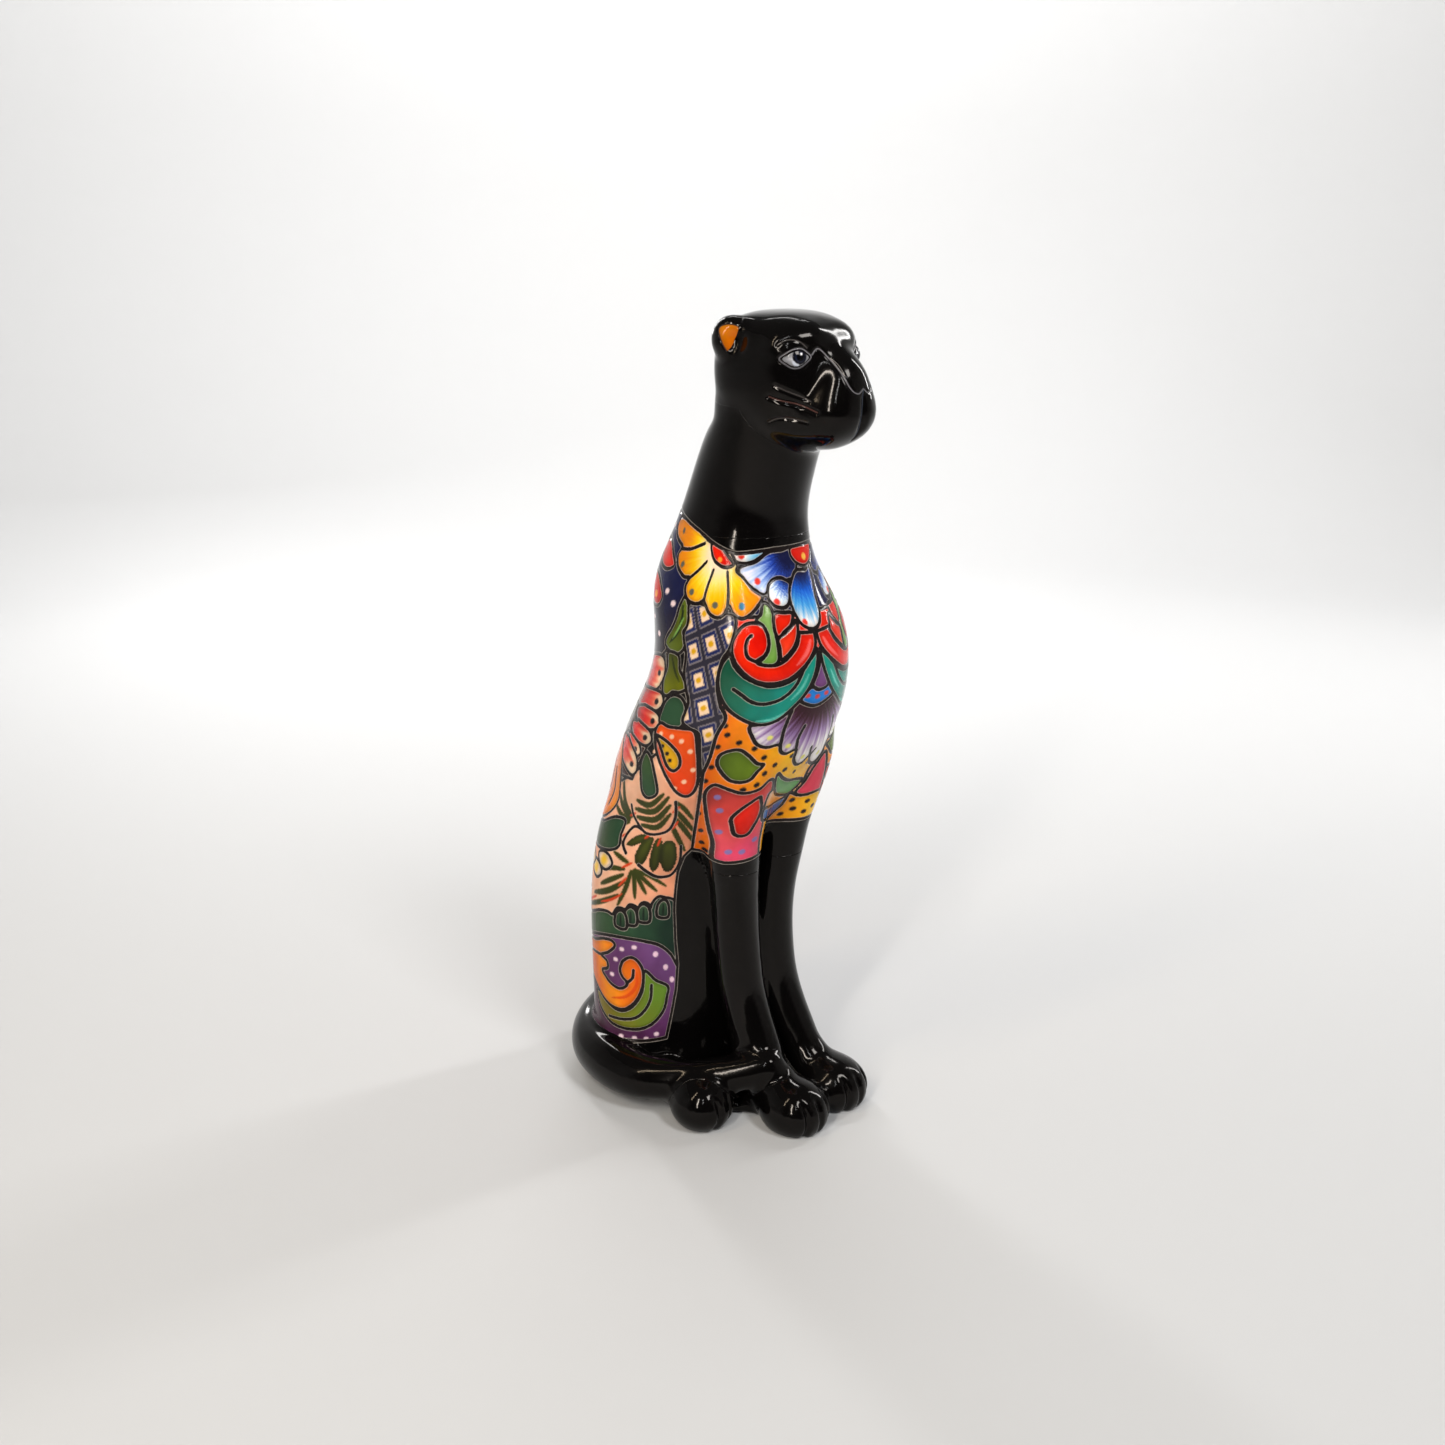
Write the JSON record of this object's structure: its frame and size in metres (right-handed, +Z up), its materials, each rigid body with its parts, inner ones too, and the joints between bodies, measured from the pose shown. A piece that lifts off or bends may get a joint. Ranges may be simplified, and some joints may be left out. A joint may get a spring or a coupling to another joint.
{
  "type": "seated ceramic panther figure",
  "caption": "Tall seated panther in glazed ceramic, black head, legs and tail, torso covered in bright outlined enamel flowers and scrolls.",
  "frame": {"origin": "on the flat underside, in the middle plane of the figure, between the body's front and the forelegs", "axes": "+Z up, the figure faces -Y, its right side is -X"},
  "size_m": [0.1861, 0.2548, 0.61],
  "materials": {
    "painted_glaze": "gloss enamel painting under clear glaze, many colours with dark outlines",
    "black_glaze": "high gloss black glaze",
    "ear_glaze": "high gloss black glaze with an orange patch inside the ear",
    "bare_clay": "unglazed low-fired clay"
  },
  "bodies": {
    "root": {"body_shell": "painted_glaze", "neck_shell": "black_glaze", "head_shell": "black_glaze", "ear_right": "ear_glaze", "ear_left": "ear_glaze", "foreleg_right": "black_glaze", "foreleg_left": "black_glaze", "hind_paw_right": "black_glaze", "hind_paw_left": "black_glaze", "tail": "black_glaze", "foot_web": "black_glaze", "bottom_plate": "bare_clay"}
  },
  "joints": []
}
